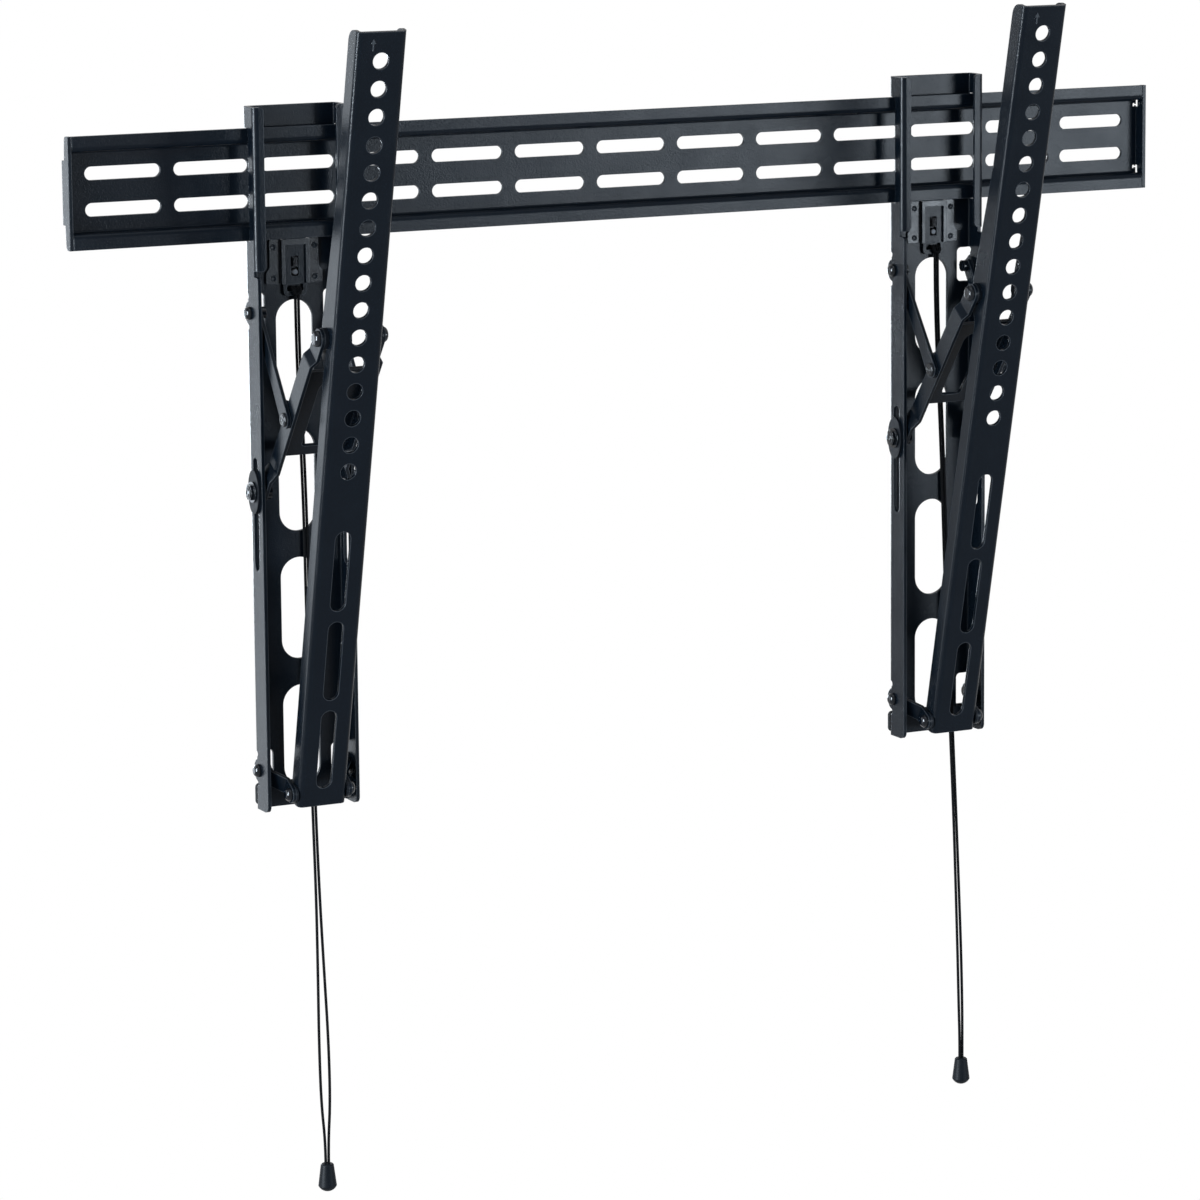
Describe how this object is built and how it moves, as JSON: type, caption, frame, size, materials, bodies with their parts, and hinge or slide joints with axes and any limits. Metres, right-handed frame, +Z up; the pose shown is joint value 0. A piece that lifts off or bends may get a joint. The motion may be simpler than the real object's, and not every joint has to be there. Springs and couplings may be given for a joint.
{
  "type": "tilting tv wall bracket",
  "caption": "Wall rail with two hook-on brackets; each has a slotted screen arm that tilts on a sliding yoke linkage and a sprung latch released by a pull cord.",
  "frame": {"origin": "middle of the rail's back face, on the wall", "axes": "+Z up, +X along the rail, the screen side faces -Y"},
  "size_m": [0.666, 0.1287, 0.6431],
  "materials": {
    "black_steel": "satin black powder coat",
    "rivet_black": "gloss black",
    "bright_steel": "plated",
    "black_nylon": "satin",
    "black_rubber": "matte",
    "black_cord": "braided"
  },
  "bodies": {
    "rail": {"wall_rail": "black_steel"},
    "left_bracket": {"left_channel": "black_steel", "left_wall_pad": "black_rubber", "left_latch_guide": "black_steel", "left_latch_rivet": "bright_steel", "left_latch_spring": "bright_steel", "left_upper_rivets": "rivet_black", "left_upper_washers": "black_nylon", "left_lower_rivets": "rivet_black", "left_lower_washers": "black_nylon"},
    "left_latch": {"left_latch_plate": "black_steel", "left_cord_hitch": "black_cord", "left_pull_cord_a": "black_cord", "left_pull_cord_b": "black_cord", "left_cord_pull": "black_nylon"},
    "left_stays": {"left_stay_a": "black_steel", "left_stay_b": "black_steel", "left_middle_rivets": "rivet_black"},
    "left_yoke_arm": {"left_yoke": "black_steel", "left_arm_rivets": "rivet_black", "left_arm_spacers": "black_nylon"},
    "left_clamp": {"left_slide_plates": "black_nylon", "left_clamp_nuts": "rivet_black", "left_clamp_bolts": "rivet_black"},
    "left_links": {"left_foot_link_a": "black_steel", "left_foot_link_b": "black_steel", "left_foot_rivets": "rivet_black", "left_foot_washers": "black_nylon"},
    "left_screen_arm": {"left_arm": "black_steel"},
    "right_bracket": {"right_channel": "black_steel", "right_wall_pad": "black_rubber", "right_latch_guide": "black_steel", "right_latch_rivet": "bright_steel", "right_latch_spring": "bright_steel", "right_upper_rivets": "rivet_black", "right_upper_washers": "black_nylon", "right_lower_rivets": "rivet_black", "right_lower_washers": "black_nylon"},
    "right_latch": {"right_latch_plate": "black_steel", "right_cord_hitch": "black_cord", "right_pull_cord_a": "black_cord", "right_pull_cord_b": "black_cord", "right_cord_pull": "black_nylon"},
    "right_stays": {"right_stay_a": "black_steel", "right_stay_b": "black_steel", "right_middle_rivets": "rivet_black"},
    "right_yoke_arm": {"right_yoke": "black_steel", "right_arm_rivets": "rivet_black", "right_arm_spacers": "black_nylon"},
    "right_clamp": {"right_slide_plates": "black_nylon", "right_clamp_nuts": "rivet_black", "right_clamp_bolts": "rivet_black"},
    "right_links": {"right_foot_link_a": "black_steel", "right_foot_link_b": "black_steel", "right_foot_rivets": "rivet_black", "right_foot_washers": "black_nylon"},
    "right_screen_arm": {"right_arm": "black_steel"}
  },
  "joints": [
    {"name": "left_rail_slide", "type": "slide", "parent": "rail", "child": "left_bracket", "axis": [1, 0, 0], "range_m": [-0.09, 0.165]},
    {"name": "left_latch_slide", "type": "slide", "parent": "left_bracket", "child": "left_latch", "axis": [0, 0, -1], "range_m": [0, 0.0044], "stiffness_N_per_m": 300, "springref_m": -0.004, "deforming": ["left_latch_spring"]},
    {"name": "left_stay_pivot", "type": "hinge", "parent": "left_bracket", "child": "left_stays", "pos_m": [-0.205, -0.008, -0.069], "axis": [1, 0, 0], "range_deg": [-4.66, 28.61]},
    {"name": "left_yoke_pivot", "type": "hinge", "parent": "left_stays", "child": "left_yoke_arm", "pos_m": [-0.205, -0.0441, -0.12221], "axis": [1, 0, 0], "range_deg": [-63.45, 10.02]},
    {"name": "left_clamp_pivot", "type": "hinge", "parent": "left_yoke_arm", "child": "left_clamp", "pos_m": [-0.205, -0.0118, -0.16499], "axis": [1, 0, 0], "range_deg": [-5.66, 35.14]},
    {"name": "left_link_pivot", "type": "hinge", "parent": "left_bracket", "child": "left_links", "pos_m": [-0.205, -0.008, -0.3184], "axis": [1, 0, 0], "range_deg": [-2.63, 15.42]},
    {"name": "left_arm_tilt", "type": "hinge", "parent": "left_links", "child": "left_screen_arm", "pos_m": [-0.205, -0.02787, -0.32874], "axis": [1, 0, 0], "range_deg": [-28.12, 4.33]},
    {"name": "right_rail_slide", "type": "slide", "parent": "rail", "child": "right_bracket", "axis": [1, 0, 0], "range_m": [-0.15, 0.1]},
    {"name": "right_latch_slide", "type": "slide", "parent": "right_bracket", "child": "right_latch", "axis": [0, 0, -1], "range_m": [0, 0.0044], "stiffness_N_per_m": 300, "springref_m": -0.004, "deforming": ["right_latch_spring"]},
    {"name": "right_stay_pivot", "type": "hinge", "parent": "right_bracket", "child": "right_stays", "pos_m": [0.191, -0.008, -0.069], "axis": [1, 0, 0], "range_deg": [-4.66, 28.61]},
    {"name": "right_yoke_pivot", "type": "hinge", "parent": "right_stays", "child": "right_yoke_arm", "pos_m": [0.191, -0.0441, -0.12221], "axis": [1, 0, 0], "range_deg": [-63.45, 10.02]},
    {"name": "right_clamp_pivot", "type": "hinge", "parent": "right_yoke_arm", "child": "right_clamp", "pos_m": [0.191, -0.0118, -0.16499], "axis": [1, 0, 0], "range_deg": [-5.66, 35.14]},
    {"name": "right_link_pivot", "type": "hinge", "parent": "right_bracket", "child": "right_links", "pos_m": [0.191, -0.008, -0.3184], "axis": [1, 0, 0], "range_deg": [-2.63, 15.42]},
    {"name": "right_arm_tilt", "type": "hinge", "parent": "right_links", "child": "right_screen_arm", "pos_m": [0.191, -0.02787, -0.32874], "axis": [1, 0, 0], "range_deg": [-28.12, 4.33]}
  ],
  "couplings": [
    {"joint": "left_stay_pivot", "follows": "left_arm_tilt", "ratio": -1.0069},
    {"joint": "left_yoke_pivot", "follows": "left_arm_tilt", "ratio": 2.2461},
    {"joint": "left_clamp_pivot", "follows": "left_arm_tilt", "ratio": -1.2392},
    {"joint": "left_link_pivot", "follows": "left_arm_tilt", "ratio": -0.53766},
    {"joint": "right_stay_pivot", "follows": "right_arm_tilt", "ratio": -1.0069},
    {"joint": "right_yoke_pivot", "follows": "right_arm_tilt", "ratio": 2.2461},
    {"joint": "right_clamp_pivot", "follows": "right_arm_tilt", "ratio": -1.2392},
    {"joint": "right_link_pivot", "follows": "right_arm_tilt", "ratio": -0.53766}
  ]
}
